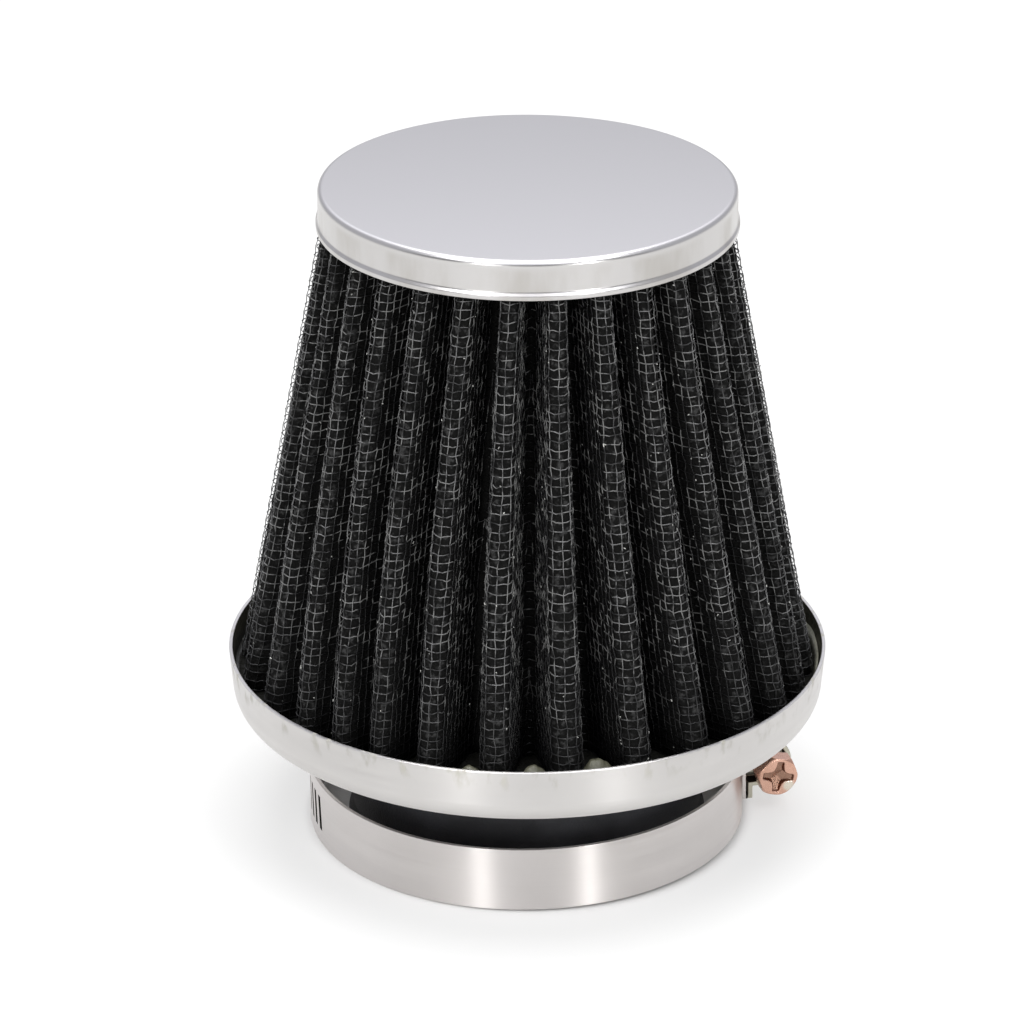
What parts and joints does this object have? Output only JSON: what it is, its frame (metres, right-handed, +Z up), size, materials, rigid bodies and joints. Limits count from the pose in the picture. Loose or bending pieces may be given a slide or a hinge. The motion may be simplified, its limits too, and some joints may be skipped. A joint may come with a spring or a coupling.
{
  "type": "clamp-on air filter",
  "caption": "Conical pleated air filter with a wire-screened pack between a metal cap and pan, a rubber inlet neck below and a slack worm-drive clamp round the neck.",
  "frame": {"origin": "centre of the neck's mouth, on the surface that the filter stands on", "axes": "+Z up along the filter's axis from the inlet to the cap, -Y towards the viewer of the picture"},
  "size_m": [0.096, 0.096, 0.1088],
  "materials": {
    "cap_metal": "satin",
    "pan_metal": "polished",
    "screen_wire": "satin black",
    "filter_sheet": "matt black",
    "potting_glue": "cured glue",
    "neck_rubber": "matt",
    "band_steel": "polished",
    "screw_plating": "copper-coloured plating"
  },
  "bodies": {
    "filter": {"top_cap": "cap_metal", "top_potting": "potting_glue", "outer_screen": "screen_wire", "filter_media": "filter_sheet", "inner_screen": "screen_wire", "base_potting": "potting_glue", "base_pan": "pan_metal", "rubber_neck": "neck_rubber", "clamp_band": "band_steel", "clamp_saddle": "band_steel", "clamp_housing": "band_steel"},
    "screw": {"clamp_screw": "screw_plating"}
  },
  "joints": [
    {"name": "screw_turn", "type": "hinge", "parent": "filter", "child": "screw", "pos_m": [0.03781, 0.01049, 0.00634], "axis": [-0.2672, 0.9636, 0], "continuous": true}
  ]
}
